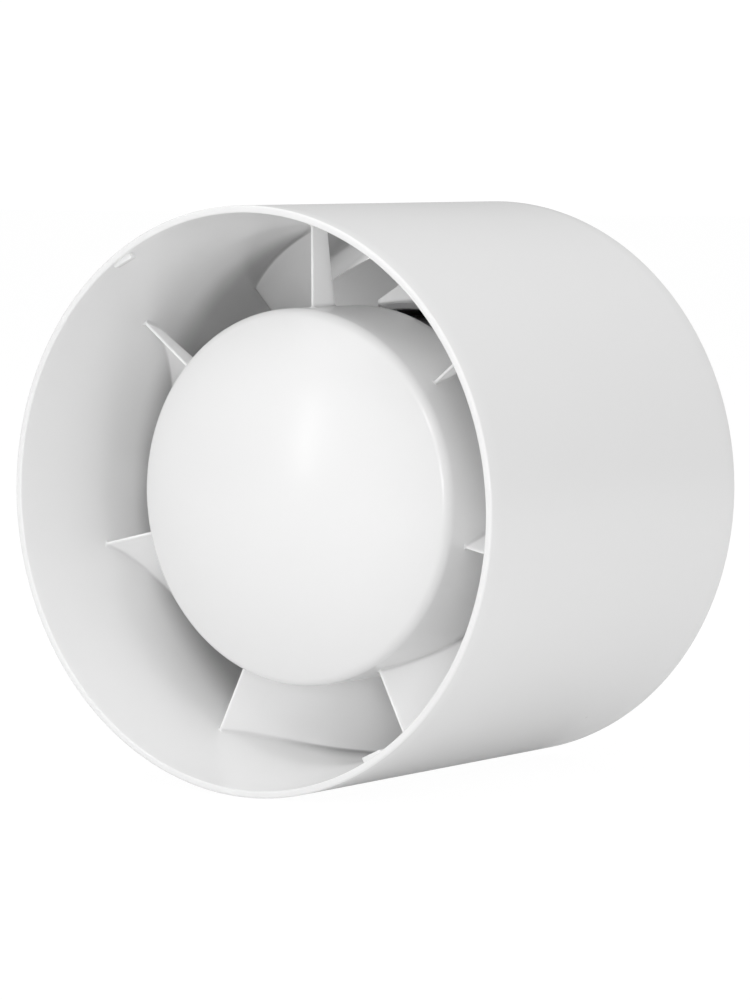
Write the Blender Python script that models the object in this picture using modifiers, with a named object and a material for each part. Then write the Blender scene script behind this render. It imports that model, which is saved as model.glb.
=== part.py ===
"""In-line duct extractor fan for a 100 mm round duct.

World frame: metres, +Z up, the fan's axis along Y through the origin, the
outlet with its domed hub at -Y and the inlet at +Y. Sizes below are in
millimetres and degrees.

A station is the distance from the outlet end of the tube, measured along +Y.
Names ending in _FROM and _TO are the stations where a part starts and ends.
"Front" parts lie towards the outlet, "rear" parts towards the inlet. Angles
are measured about the axis from +Z (top) towards +X.
"""

from math import asin, atan2, cos, degrees, exp, hypot, pi, radians, sin, tan

import bmesh
import bpy
from mathutils import Matrix, Vector

MM = 0.001
WELD = 0.00001  # merging distance, metres
SHARP_ANGLE = 40.0

# -------------------------------------------------------- shared dimensions
TUBE_LENGTH = 76.0
THROAT_RADIUS = 46.03  # inner radius around vanes and impeller
CIRCLE_STEPS = 40  # cup, impeller hub and motor

STACK_FROM, STACK_TO = 40.5, 52.0  # stator and rotor laminations
STACK_MID = (STACK_FROM + STACK_TO) / 2
STACK_HALF = (STACK_TO - STACK_FROM) / 2
MOTOR_RADIUS = 29.6
SHIELD_GAP = 0.3  # between the stack and each shield
FRONT_FROM, FRONT_TO = 18.0, STACK_FROM - SHIELD_GAP
REAR_FROM, REAR_TO = STACK_TO + SHIELD_GAP, 60.0

SCREWS, SCREW_PHASE, SCREW_PITCH_RADIUS = 4, 45.0, 26.0
CABLE_ANGLE, CABLE_STATION = -90.0, 36.6

# -------------------------------------------------------------- start afresh
for old in list(bpy.data.objects):
    bpy.data.objects.remove(old, do_unlink=True)


def collection(name):
    made = bpy.data.collections.new(name)
    bpy.context.scene.collection.children.link(made)
    return made


PARTS = collection("duct_extractor_fan")
CUTTERS = collection("cutters")


# ----------------------------------------------------------------- materials
def material(name, colour, roughness, metallic=0.0):
    made = bpy.data.materials.new(name)
    made.use_nodes = True
    shader = made.node_tree.nodes["Principled BSDF"]
    shader.inputs["Base Color"].default_value = (*colour, 1.0)
    shader.inputs["Roughness"].default_value = roughness
    shader.inputs["Metallic"].default_value = metallic
    made.diffuse_color = (*colour, 1.0)
    return made


WHITE = material("white_abs", colour=(0.86, 0.86, 0.86), roughness=0.28)
IMPELLER_WHITE = material("impeller_white", colour=(0.82, 0.82, 0.82), roughness=0.34)
BLACK = material("black_plastic", colour=(0.012, 0.012, 0.013), roughness=0.45)
LACQUER = material("lacquered_steel", colour=(0.02, 0.02, 0.022), roughness=0.5, metallic=0.6)
STEEL = material("bright_steel", colour=(0.62, 0.62, 0.63), roughness=0.28, metallic=1.0)
ALUMINIUM = material("cast_aluminium", colour=(0.72, 0.72, 0.74), roughness=0.4, metallic=1.0)
BRASS = material("brass", colour=(0.72, 0.52, 0.2), roughness=0.3, metallic=1.0)
BRONZE = material("sintered_bronze", colour=(0.45, 0.3, 0.16), roughness=0.55, metallic=1.0)
COPPER = material("copper", colour=(0.75, 0.36, 0.2), roughness=0.3, metallic=1.0)
WINDING = material("enamelled_wire", colour=(0.4, 0.14, 0.05), roughness=0.35, metallic=0.4)
NYLON = material("natural_nylon", colour=(0.75, 0.73, 0.65), roughness=0.45)
RUBBER = material("black_rubber", colour=(0.02, 0.02, 0.02), roughness=0.75)
GREY_RUBBER = material("grey_rubber", colour=(0.5, 0.5, 0.5), roughness=0.7)
FELT = material("felt", colour=(0.6, 0.56, 0.48), roughness=0.95)
SHEATH = material("white_sheath", colour=(0.8, 0.8, 0.79), roughness=0.5)
BROWN = material("brown_wire", colour=(0.16, 0.06, 0.03), roughness=0.45)
BLUE = material("blue_wire", colour=(0.03, 0.1, 0.42), roughness=0.45)


# -------------------------------------------------------- places on the fan
def axis_y(station):
    """World y of a station."""
    return (station - TUBE_LENGTH / 2) * MM


def frame_at(angle, radius, station):
    """Frame with local X tangential, local Y along the axis, local Z radial."""
    turn = radians(angle)
    outward = Vector((sin(turn), 0.0, cos(turn)))
    sideways = Vector((cos(turn), 0.0, -sin(turn)))
    frame = Matrix((sideways, (0.0, 1.0, 0.0), outward)).transposed().to_4x4()
    frame.translation = outward * radius * MM + Vector((0.0, axis_y(station), 0.0))
    return frame


def on_fan(angle, radius, station):
    return tuple(frame_at(angle, radius, station).translation)


def axial_frame(angle, radius, station):
    """Frame whose local Z points along +Y."""
    to_inlet = Matrix.Rotation(-pi / 2, 4, "X")
    return Matrix.Translation(on_fan(angle, radius, station)) @ to_inlet


# ------------------------------------------------------------ object helpers
def place(obj, target, smooth=False, paint=None):
    target.objects.link(obj)
    if paint:
        obj.data.materials.append(paint)
    if smooth:
        obj.data.shade_smooth()
        obj.data.set_sharp_from_angle(angle=radians(SHARP_ANGLE))
    if target is CUTTERS:
        obj.hide_render = True
        obj.display_type = "WIRE"
    return obj


def section(name, verts):
    """Object with the loop of edges to revolve. A section that starts on the
    axis also ends there and is left open between the two."""
    edges = [(i, i + 1) for i in range(len(verts) - 1)]
    if verts[0][0] > 0.0:
        edges.append((len(verts) - 1, 0))
    mesh = bpy.data.meshes.new(name)
    mesh.from_pydata(verts, edges, [])
    return bpy.data.objects.new(name, mesh)


def revolve(obj, steps):
    """Turn a section about its local Z."""
    screw = obj.modifiers.new("turn", "SCREW")
    screw.axis = "Z"
    screw.angle = 2 * pi
    screw.steps = screw.render_steps = steps
    screw.use_merge_vertices = True
    screw.merge_threshold = WELD
    screw.use_smooth_shade = True


def turned(name, profile, steps, paint=None, target=PARTS):
    """Revolve (radius, station) points about the fan's axis. The points run
    along the outer side with the station growing, then back inside."""
    obj = section(name, [(radius * MM, 0.0, -axis_y(station)) for radius, station in profile])
    obj.rotation_euler = (pi / 2, 0.0, 0.0)
    revolve(obj, steps)
    return place(obj, target, paint=paint)


def turned_radially(name, profile, steps, paint):
    """Revolve (radius, distance from the fan's axis) points about the cable's
    line. The points run along the outer side with the distance falling, then
    back inside."""
    obj = section(name, [(radius * MM, 0.0, distance * MM) for radius, distance in profile])
    obj.matrix_world = frame_at(CABLE_ANGLE, 0.0, CABLE_STATION)
    revolve(obj, steps)
    return place(obj, PARTS, paint=paint)


def ring(name, start, end, inner, outer, paint=None, steps=16, target=PARTS):
    """A plain ring about the fan's axis between two stations."""
    profile = [(inner, start), (outer, start), (outer, end), (inner, end)]
    return turned(name, profile, steps, paint, target)


def frozen(obj):
    """Replace an object by a welded world-space mesh of its evaluated shape."""
    bpy.context.view_layer.update()
    seen = obj.evaluated_get(bpy.context.evaluated_depsgraph_get())
    mesh = bpy.data.meshes.new_from_object(seen)
    mesh.transform(obj.matrix_world)
    bm = bmesh.new()
    bm.from_mesh(mesh)
    bmesh.ops.remove_doubles(bm, verts=bm.verts, dist=WELD)
    bm.to_mesh(mesh)
    bm.free()
    bpy.data.objects.remove(obj, do_unlink=True)
    return mesh


def copies(name, mesh, matrices, paint, target=PARTS):
    """Objects that share one mesh, numbered from 1 if there are several."""
    mesh.materials.clear()
    mesh.materials.append(paint)
    made = []
    for k, matrix in enumerate(matrices):
        label = f"{name}_{k + 1}" if len(matrices) > 1 else name
        obj = bpy.data.objects.new(label, mesh)
        obj.matrix_world = matrix
        made.append(place(obj, target, smooth=target is PARTS))
    return made


def flat(name, outlines, depth):
    """A filled 2D outline, `depth` thick, centred on its own plane, as a mesh.
    Outlines after the first are holes."""
    curve = bpy.data.curves.new(name, "CURVE")
    curve.dimensions = "2D"
    curve.fill_mode = "BOTH"
    curve.extrude = depth * MM / 2
    for points in outlines:
        spline = curve.splines.new("POLY")
        spline.points.add(len(points) - 1)
        for point, (x, y) in zip(spline.points, points):
            point.co = (x * MM, y * MM, 0.0, 1.0)
        spline.use_cyclic_u = True
    obj = bpy.data.objects.new(name, curve)
    CUTTERS.objects.link(obj)
    return frozen(obj)


def circle(radius, steps, x=0.0, y=0.0):
    turns = [2 * pi * i / steps for i in range(steps)]
    return [(x + radius * cos(turn), y + radius * sin(turn)) for turn in turns]


def rounded_rect(half_width, half_height, radius, steps=3):
    points = []
    for k, (x_side, y_side) in enumerate(((1, 1), (-1, 1), (-1, -1), (1, -1))):
        for i in range(steps + 1):
            turn = pi / 2 * (k + i / steps)
            x = x_side * (half_width - radius) + radius * cos(turn)
            y = y_side * (half_height - radius) + radius * sin(turn)
            points.append((x, y))
    return points


def cylinder(name, radius, length, matrix, steps=16):
    """A helper cylinder along local Z from 0 to length."""
    bm = bmesh.new()
    bmesh.ops.create_cone(
        bm, cap_ends=True, segments=steps, radius1=radius * MM, radius2=radius * MM,
        depth=length * MM, matrix=Matrix.Translation((0.0, 0.0, length * MM / 2)),
    )
    mesh = bpy.data.meshes.new(name)
    bm.to_mesh(mesh)
    bm.free()
    mesh.transform(matrix)
    return place(bpy.data.objects.new(name, mesh), CUTTERS, smooth=True)


def cylinder_circle(name, count, phase, pitch_radius, start, radius, length, steps=16):
    """Axial helper cylinders evenly spaced on a pitch circle."""
    return [
        cylinder(f"{name}_{k}", radius, length,
                 axial_frame(phase + 360.0 * k / count, pitch_radius, start), steps)
        for k in range(count)
    ]


def block(name, size, matrix, target=CUTTERS, paint=None):
    bm = bmesh.new()
    bmesh.ops.create_cube(bm, size=1.0)
    mesh = bpy.data.meshes.new(name)
    bm.to_mesh(mesh)
    bm.free()
    mesh.transform(Matrix.Diagonal((size[0] * MM, size[1] * MM, size[2] * MM, 1.0)))
    mesh.transform(matrix)
    return place(bpy.data.objects.new(name, mesh), target, paint=paint)


def sheet(name, rows, thickness, offset=0.0):
    """A curved sheet through rows of points, thickened evenly to both sides,
    or all behind its face if offset is -1."""
    bm = bmesh.new()
    grid = [[bm.verts.new(point) for point in row] for row in rows]
    for row, after in zip(grid, grid[1:]):
        for i in range(len(row) - 1):
            bm.faces.new((row[i], row[i + 1], after[i + 1], after[i]))
    mesh = bpy.data.meshes.new(name)
    bm.to_mesh(mesh)
    bm.free()
    obj = bpy.data.objects.new(name, mesh)
    thick = obj.modifiers.new("thickness", "SOLIDIFY")
    thick.thickness = thickness * MM
    thick.offset = offset
    thick.use_even_offset = True
    return place(obj, CUTTERS)


def combine(obj, others, operation):
    """Boolean an object with each of the others in turn."""
    for other in others:
        step = obj.modifiers.new(other.name, "BOOLEAN")
        step.operation = operation
        step.solver = "EXACT"
        step.object = other


def wire(name, path, radius, paint, resolution=2):
    """A round wire through (angle, radius, station) places on the fan."""
    curve = bpy.data.curves.new(name, "CURVE")
    curve.dimensions = "3D"
    curve.bevel_depth = radius * MM
    curve.bevel_resolution = resolution
    curve.use_fill_caps = True
    spline = curve.splines.new("POLY")
    spline.points.add(len(path) - 1)
    for point, where in zip(spline.points, path):
        point.co = (*on_fan(*where), 1.0)
    curve.materials.append(paint)
    PARTS.objects.link(bpy.data.objects.new(name, curve))


# --------------------------------------------------------------- the housing
TUBE_RADIUS = 49.5  # outer, a sliding fit in a 100 mm duct
LIP_RADIUS = 48.26  # inner radius at both lips
LIP_EASE, LIP_INNER_EASE = 0.4, 0.3
THROAT_FROM, THROAT_TO = 20.0, 57.0
TUBE_STEPS, TAPER_STEPS = 56, 3

DOME_APEX, DOME_EDGE = 5.7, 13.1  # stations
DOME_EDGE_RADIUS = 30.7
DOME_RISE = DOME_EDGE - DOME_APEX
DOME_RADIUS = (DOME_EDGE_RADIUS**2 + DOME_RISE**2) / (2 * DOME_RISE)  # of its sphere
DOME_CENTRE = DOME_APEX + DOME_RADIUS
EDGE_ANGLE = asin(DOME_EDGE_RADIUS / DOME_RADIUS)
CUP_RADIUS, CUP_WALL, CUP_TO = 32.03, 1.6, 33.7
FILLET_RADIUS = (CUP_RADIUS - DOME_EDGE_RADIUS) / (1.0 - sin(EDGE_ANGLE))

VANES, VANE_PHASE = 7, -0.3
VANE_FROM = 19.06  # outlet edges
VANE_ARC_RADIUS, VANE_ARC_DEPTH, VANE_FLAT_DEPTH = 29.0, 18.65, 6.35
VANE_SLOPES = radians(15.0), radians(64.4)  # outlet and inlet, from the axis
VANE_MID_RADIUS, VANE_THICKNESS, VANE_STEPS = 39.1, 1.3, 5
VANE_SPAN = CUP_RADIUS - 0.8, THROAT_RADIUS + 1.2  # sunk into cup and tube

BOSS_RADIUS, BOSS_FROM, BOSS_TO = 2.8, 12.7, 15.6
PILOT_RADIUS, PILOT_FROM, PILOT_LENGTH = 1.75, 13.2, 4.0
NIB_SIZE, NIB_STATION, NIB_ANGLES = (4.0, 1.5, 1.5), 2.2, (-33.5, 148.0)


def tube_inner(station):
    """Inner radius of the tube: it narrows smoothly from each lip."""
    if station < THROAT_FROM:
        share = 1.0 - station / THROAT_FROM
    elif station > THROAT_TO:
        share = (station - THROAT_TO) / (TUBE_LENGTH - THROAT_TO)
    else:
        return THROAT_RADIUS
    eased = share * share * (3 - 2 * share)
    return THROAT_RADIUS + (LIP_RADIUS - THROAT_RADIUS) * (eased + share) / 2


def tube_profile():
    """Section of the tube wall: a flat end with its edges eased at each lip."""
    front = [
        (LIP_RADIUS, LIP_INNER_EASE), (LIP_RADIUS + LIP_INNER_EASE, 0.0),
        (TUBE_RADIUS - LIP_EASE, 0.0), (TUBE_RADIUS, LIP_EASE),
    ]
    rear = [(radius, TUBE_LENGTH - station) for radius, station in reversed(front)]
    rear_depth = TUBE_LENGTH - THROAT_TO
    inside = [TUBE_LENGTH - rear_depth * i / TAPER_STEPS for i in range(1, TAPER_STEPS + 1)]
    inside += [THROAT_FROM - THROAT_FROM * i / TAPER_STEPS for i in range(TAPER_STEPS)]
    return front + rear + [(tube_inner(station), station) for station in inside]


def cup_profile(inset, dome_steps, edge_steps):
    """Dome, rounded edge and skirt from the axis to the cup's open end, moved
    inwards by the inset."""
    def arc_point(radius, turn, centre_radius, centre):
        return (centre_radius + radius * sin(turn), centre - radius * cos(turn))

    points = [
        arc_point(DOME_RADIUS - inset, EDGE_ANGLE * i / dome_steps, 0.0, DOME_CENTRE)
        for i in range(dome_steps + 1)
    ]
    # the fillet's centre lies on the dome radius through the dome's edge
    fillet_at = arc_point(DOME_RADIUS - FILLET_RADIUS, EDGE_ANGLE, 0.0, DOME_CENTRE)
    for i in range(1, edge_steps + 1):
        turn = EDGE_ANGLE + (pi / 2 - EDGE_ANGLE) * i / edge_steps
        points.append(arc_point(FILLET_RADIUS - inset, turn, *fillet_at))
    points.append((CUP_RADIUS - inset, CUP_TO))
    return points


def vane_camber():
    """(axial, tangential) offsets from the outlet edge at mid span: a circular
    arc that starts nearly axial, then a straight inlet part."""
    first, last = VANE_SLOPES
    points = []
    for i in range(VANE_STEPS + 1):
        depth = VANE_ARC_DEPTH * i / VANE_STEPS
        slope = asin(min(sin(first) + depth / VANE_ARC_RADIUS, sin(last)))
        points.append((depth, VANE_ARC_RADIUS * (cos(first) - cos(slope))))
    depth, shift = points[-1]
    points.append((depth + VANE_FLAT_DEPTH, shift + VANE_FLAT_DEPTH * tan(last)))
    return points


def vane(k):
    base = 360.0 * k / VANES + VANE_PHASE
    rows = [
        [on_fan(base - degrees(shift / VANE_MID_RADIUS), radius, VANE_FROM + depth)
         for radius in VANE_SPAN]
        for depth, shift in vane_camber()
    ]
    return sheet(f"guide_vane_blank_{k}", rows, VANE_THICKNESS, offset=-1.0)


def build_housing():
    housing = turned("duct_housing", tube_profile(), TUBE_STEPS, WHITE)
    cup_section = cup_profile(0.0, 5, 3) + cup_profile(CUP_WALL, 4, 1)[::-1]
    cup = turned("motor_cup_blank", cup_section, CIRCLE_STEPS, target=CUTTERS)
    screw_circle = SCREWS, SCREW_PHASE, SCREW_PITCH_RADIUS
    bosses = cylinder_circle(
        "boss_blank", *screw_circle, BOSS_FROM, BOSS_RADIUS, BOSS_TO - BOSS_FROM)
    pilots = cylinder_circle(
        "pilot_hole", *screw_circle, PILOT_FROM, PILOT_RADIUS, PILOT_LENGTH, steps=12)
    nibs = [
        block(f"lip_nib_blank_{k}", NIB_SIZE,
              frame_at(angle, tube_inner(NIB_STATION), NIB_STATION))
        for k, angle in enumerate(NIB_ANGLES)
    ]
    cable_hole = cylinder("cable_hole", 3.3, 12.0, frame_at(CABLE_ANGLE, 42.0, CABLE_STATION))
    combine(housing, [vane(k) for k in range(VANES)] + [cup] + bosses + nibs, "UNION")
    combine(housing, pilots + [cable_hole], "DIFFERENCE")


# -------------------------------------------------------------- the impeller
HUB_RADIUS, HUB_INNER_RADIUS, HUB_FROM, HUB_TO = 32.1, 30.9, 47.5, 70.5
HUB_FILLET, HUB_FILLET_STEPS, HUB_CHAMFER = 3.0, 3, 1.8
HUB_END_INNER = HUB_TO - 1.6  # inner side of the closed inlet end
COLLAR_RADIUS, COLLAR_BORE_RADIUS, COLLAR_FROM = 8.0, 5.3, 64.6
COLLAR_TO = HUB_TO + 1.0
RIB_SIZE, RIB_PHASE, RIB_RADIUS, RIB_STATION = (1.2, 4.2, 24.0), 30, 19.2, 67.3

BLADES, BLADE_TIP_RADIUS, BLADE_THICKNESS = 6, 45.0, 1.6
BLADE_ROOT_RADIUS = HUB_RADIUS - 0.6  # sunk into the hub
BLADE_FROM, BLADE_TO = 46.4, 70.2
BLADE_SLOPES = radians(45.0), radians(64.0)  # trailing and leading, from the axis
BLADE_MID_RADIUS, BLADE_STEPS = 38.5, 5
BLADE_SHARES = (0.0, 0.14, 0.26, 0.45, 1.0)  # of the span, root to tip
BLADE_PHASE = -12.5  # trailing edge of the first blade at its root
BLADE_ROOT_TRIM = 1.0  # trailing edge at the root, from BLADE_FROM
BLADE_SWEEP = 5.6  # how far the trailing edge falls back towards the tip
SWEEP_START, SWEEP_FADE = 0.13, 0.2  # shares of the span
BLADE_LEAD_TRIM = 1.2  # leading edge short of BLADE_TO at the root


def blade_start(share):
    """Axial offset of the trailing edge at a share of the span: straight at
    the root, then rounded back towards the tip."""
    swept = 1.0 - exp(-max(0.0, share - SWEEP_START) / SWEEP_FADE)
    return BLADE_ROOT_TRIM + BLADE_SWEEP * swept


def blade(k):
    """Trailing edge towards the vanes, leading edge towards the inlet."""
    base = BLADE_PHASE + 360.0 * k / BLADES
    first, last = BLADE_SLOPES
    full_depth = BLADE_TO - BLADE_FROM
    arc_radius = full_depth / (sin(last) - sin(first))
    rows = []
    for i in range(BLADE_STEPS + 1):
        row = []
        for share in BLADE_SHARES:
            radius = BLADE_ROOT_RADIUS + (BLADE_TIP_RADIUS - BLADE_ROOT_RADIUS) * share
            start, end = blade_start(share), full_depth - BLADE_LEAD_TRIM * (1 - share)
            depth = start + (end - start) * i / BLADE_STEPS
            slope = asin(sin(first) + depth / arc_radius)
            shift = arc_radius * (cos(first) - cos(slope))
            angle = base + degrees(shift / BLADE_MID_RADIUS)
            row.append(on_fan(angle, radius, BLADE_FROM + depth))
        rows.append(row)
    return sheet(f"blade_blank_{k}", rows, BLADE_THICKNESS)


def build_impeller():
    outer = [(HUB_INNER_RADIUS, HUB_FROM), (HUB_RADIUS, HUB_FROM)]
    for i in range(HUB_FILLET_STEPS + 1):
        turn = pi / 2 * i / HUB_FILLET_STEPS
        outer.append((HUB_RADIUS - HUB_FILLET + HUB_FILLET * cos(turn),
                      HUB_TO - HUB_FILLET + HUB_FILLET * sin(turn)))
    outer += [(10.5, HUB_TO), (9.3, COLLAR_TO), (COLLAR_BORE_RADIUS, COLLAR_TO)]
    inner = [
        (COLLAR_BORE_RADIUS, COLLAR_FROM), (COLLAR_RADIUS, COLLAR_FROM),
        (COLLAR_RADIUS, HUB_END_INNER), (HUB_INNER_RADIUS - HUB_CHAMFER, HUB_END_INNER),
        (HUB_INNER_RADIUS, HUB_END_INNER - HUB_CHAMFER),
    ]
    hub = turned("impeller", outer + inner, CIRCLE_STEPS, IMPELLER_WHITE)
    ribs = [
        block(f"hub_rib_blank_{k}", RIB_SIZE,
              frame_at(RIB_PHASE + 360 / BLADES * k, RIB_RADIUS, RIB_STATION))
        for k in range(BLADES)
    ]
    combine(hub, [blade(k) for k in range(BLADES)] + ribs, "UNION")


# --------------------------------------------------------- the motor shields
SHIELD_INNER_RADIUS = MOTOR_RADIUS - 1.6
SHIELD_FACE, SHIELD_CHAMFER, SHIELD_INNER_CHAMFER = 1.8, 1.2, 0.8
POCKET_RADIUS, POCKET_OUTER_RADIUS = 6.25, 8.5  # around each bearing
SHIELD_HOLE_RADIUS, SHIELD_HOLE_STEPS = 1.8, 10


def shield_holes(name, start, length):
    return cylinder_circle(name, SCREWS, SCREW_PHASE, SCREW_PITCH_RADIUS, start,
                           SHIELD_HOLE_RADIUS, length, SHIELD_HOLE_STEPS)


def build_front_shield():
    face = FRONT_FROM + SHIELD_FACE
    profile = [
        (0.0, FRONT_FROM), (MOTOR_RADIUS - SHIELD_CHAMFER, FRONT_FROM),
        (MOTOR_RADIUS, FRONT_FROM + SHIELD_CHAMFER), (MOTOR_RADIUS, FRONT_TO),
        (SHIELD_INNER_RADIUS, FRONT_TO), (SHIELD_INNER_RADIUS, face + SHIELD_INNER_CHAMFER),
        (SHIELD_INNER_RADIUS - SHIELD_INNER_CHAMFER, face), (POCKET_OUTER_RADIUS, face),
        (POCKET_OUTER_RADIUS, 35.3), (POCKET_RADIUS, 35.3), (POCKET_RADIUS, 26.0), (0.0, 26.0),
    ]
    shield = turned("motor_front_shield", profile, CIRCLE_STEPS, BLACK)
    cuts = shield_holes("front_screw_hole", FRONT_FROM - 1.0, 5.0)
    cable_frame = frame_at(CABLE_ANGLE, 24.5, CABLE_STATION)
    cuts.append(cylinder("front_cable_hole", 3.05, 8.0, cable_frame))
    combine(shield, cuts, "DIFFERENCE")


def build_rear_shield():
    face = REAR_TO - SHIELD_FACE
    profile = [
        (SHIELD_INNER_RADIUS, REAR_FROM), (MOTOR_RADIUS, REAR_FROM),
        (MOTOR_RADIUS, REAR_TO - SHIELD_CHAMFER), (MOTOR_RADIUS - SHIELD_CHAMFER, REAR_TO),
        (POCKET_OUTER_RADIUS, REAR_TO), (POCKET_OUTER_RADIUS, 63.4), (7.9, 64.0), (3.5, 64.0),
        (3.5, 63.2), (POCKET_RADIUS, 63.2), (POCKET_RADIUS, 55.9), (POCKET_OUTER_RADIUS, 55.9),
        (POCKET_OUTER_RADIUS, face), (SHIELD_INNER_RADIUS - SHIELD_INNER_CHAMFER, face),
        (SHIELD_INNER_RADIUS, face - SHIELD_INNER_CHAMFER),
    ]
    shield = turned("motor_rear_shield", profile, CIRCLE_STEPS, BLACK)
    cuts = shield_holes("rear_screw_hole", REAR_TO - 4.0, 6.0)
    cuts += cylinder_circle("rear_vent", 6, phase=22.5, pitch_radius=17.5, start=REAR_TO - 4.0,
                            radius=2.6, length=6.0, steps=SHIELD_HOLE_STEPS)
    combine(shield, cuts, "DIFFERENCE")


# ------------------------------------------------------ stator and windings
POLES = 4
BORE_RADIUS, HORN_RADIUS = 14.95, 17.8  # inner and outer side of a pole shoe
NECK_HALF = 4.75  # half width of a pole's neck
COIL_SPACE_HEIGHT, COIL_SPACE_HALF = 24.6, 10.6  # flat outer wall of the coil space
COIL_RADIUS = 21.25
BOBBIN_WALL = 0.8
SHADING_THICKNESS = 0.9


def polar(radius, angle):
    """2D point in a section seen along the axis: x tangential at the top,
    y up."""
    return (radius * sin(radians(angle)), radius * cos(radians(angle)))


def pole_outline():
    """(radius, angle from the pole's middle) points of a quarter of the
    stator's inner outline."""
    neck = degrees(asin(NECK_HALF / HORN_RADIUS))
    wall = [
        (hypot(COIL_SPACE_HEIGHT, x), degrees(atan2(x, COIL_SPACE_HEIGHT)))
        for x in (NECK_HALF, COIL_SPACE_HALF)
    ]
    shoe = [(BORE_RADIUS, angle) for angle in (-35.0, -24.0, -12.0, 0.0, 10.0, 20.0)]
    # notch for one leg of the shading ring
    shoe += [(17.0, 20.0), (17.0, 24.2), (BORE_RADIUS, 24.2)]
    shoe += [(BORE_RADIUS, 30.0), (BORE_RADIUS, 35.0)]
    side = [(16.8, 35.0), (HORN_RADIUS, 31.0), (HORN_RADIUS, neck)] + wall
    between = [(23.4, angle) for angle in (37.0, 45.0, 53.0)]
    next_side = [(radius, 90.0 - angle) for radius, angle in reversed(side)]
    return shoe + side + between + next_side


def build_stator():
    quarter = pole_outline()
    outline = [polar(radius, 90.0 * k + angle) for k in range(POLES) for radius, angle in quarter]
    holes = [
        circle(1.85, 10, *polar(SCREW_PITCH_RADIUS, SCREW_PHASE + 90.0 * k))
        for k in range(SCREWS)
    ]
    rim = [polar(MOTOR_RADIUS, 360.0 * i / CIRCLE_STEPS) for i in range(CIRCLE_STEPS)]
    mesh = flat("stator_core", [rim, outline] + holes, STACK_TO - STACK_FROM)
    # section plane x-y becomes x-z, thickness along the axis
    upright = Matrix.Rotation(pi / 2, 4, "X")
    stand = Matrix.Translation((0.0, axis_y(STACK_MID), 0.0)) @ upright
    copies("stator_core", mesh, [stand], LACQUER)


def build_windings():
    """Bobbins and coils around the pole necks, shading rings on the shoes."""
    half_width, half_height = NECK_HALF + 0.2, STACK_HALF + 0.3
    outer_width, outer_height = half_width + BOBBIN_WALL, half_height + BOBBIN_WALL
    bore = rounded_rect(half_width, half_height, 0.3, 1)
    tube = flat("bobbin_tube", [rounded_rect(outer_width, outer_height, 1.0), bore], 6.1)
    flange = flat("bobbin_flange", [rounded_rect(9.6, 10.8, 1.6), bore], 0.7)
    coil_bore = rounded_rect(outer_width + 0.2, outer_height + 0.2, 1.1)
    coil = flat("coil", [rounded_rect(9.3, 10.5, 2.6), coil_bore], 4.2)
    body = copies("bobbin_body", tube, [Matrix.Identity(4)], NYLON, CUTTERS)[0]
    lifts = [Matrix.Translation((0.0, 0.0, z * MM)) for z in (-2.65, 2.65)]
    combine(body, copies("bobbin_flange", flange, lifts, NYLON, CUTTERS), "UNION")
    around = [frame_at(90.0 * k, COIL_RADIUS, STACK_MID) for k in range(POLES)]
    copies("coil_bobbin", frozen(body), around, NYLON)
    copies("coil_winding", coil, around, WINDING)

    width, height = 1.7, STACK_HALF + 0.3  # halves of the shading ring's opening
    outer = rounded_rect(width + SHADING_THICKNESS, height + SHADING_THICKNESS, 0.2, 1)
    shading = flat("shading_ring", [outer, rounded_rect(width, height, 0.1, 1)], 1.2)
    shoes = [frame_at(90.0 * k + 29.75, 15.9, STACK_MID) for k in range(POLES)]
    copies("shading_ring", shading, shoes, COPPER)


# -------------------------------------------- rotor, bearings and fasteners
ROTOR_RADIUS, END_RING_INNER_RADIUS = 14.5, 9.0
END_RING_GAP, END_RING_LENGTH = 0.2, 2.3
SHAFT_RADIUS, SHAFT_FROM, SHAFT_TO = 3.0, 26.3, 73.4
SHAFT_CLEARANCE = 0.2

# name, start and end stations, inner and outer radii, material
SHAFT_RINGS = (
    ("bearing_retainer_front", 34.4, 34.9, 3.7, 6.0, STEEL),
    ("bearing_retainer_rear", 56.2, 56.7, 3.7, 6.0, STEEL),
    ("felt_oil_ring_front", 26.4, 27.4, 3.4, 6.0, FELT),
    ("felt_oil_ring_rear", 62.3, 62.95, 3.6, 6.0, FELT),
    ("thrust_washer_front_outer", 35.8, 36.4, 3.2, 5.6, STEEL),
    ("thrust_washer_front_inner", 36.7, 37.3, 3.2, 5.6, NYLON),
    ("thrust_washer_rear_inner", 54.7, 55.1, 3.2, 5.6, NYLON),
    ("thrust_washer_rear_outer", 55.2, 55.6, 3.2, 5.6, STEEL),
)

SCREW_RADIUS, SCREW_FROM, SCREW_HEAD_FROM = 1.5, 13.6, REAR_TO + 0.3


def build_rotor():
    ring("rotor_core", STACK_FROM, STACK_TO, SHAFT_RADIUS + SHAFT_CLEARANCE, ROTOR_RADIUS,
         LACQUER, CIRCLE_STEPS)
    front_end, rear_start = STACK_FROM - END_RING_GAP, STACK_TO + END_RING_GAP
    for name, start in (("front", front_end - END_RING_LENGTH), ("rear", rear_start)):
        ring(f"rotor_end_ring_{name}", start, start + END_RING_LENGTH,
             END_RING_INNER_RADIUS, ROTOR_RADIUS, ALUMINIUM, steps=28)


def build_shaft():
    profile = [
        (0.0, SHAFT_FROM), (SHAFT_RADIUS - 0.4, SHAFT_FROM), (SHAFT_RADIUS, SHAFT_FROM + 0.4),
        (SHAFT_RADIUS, SHAFT_TO - 0.5), (SHAFT_RADIUS - 0.5, SHAFT_TO), (0.0, SHAFT_TO),
    ]
    turned("motor_shaft", profile, 20, STEEL)


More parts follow.
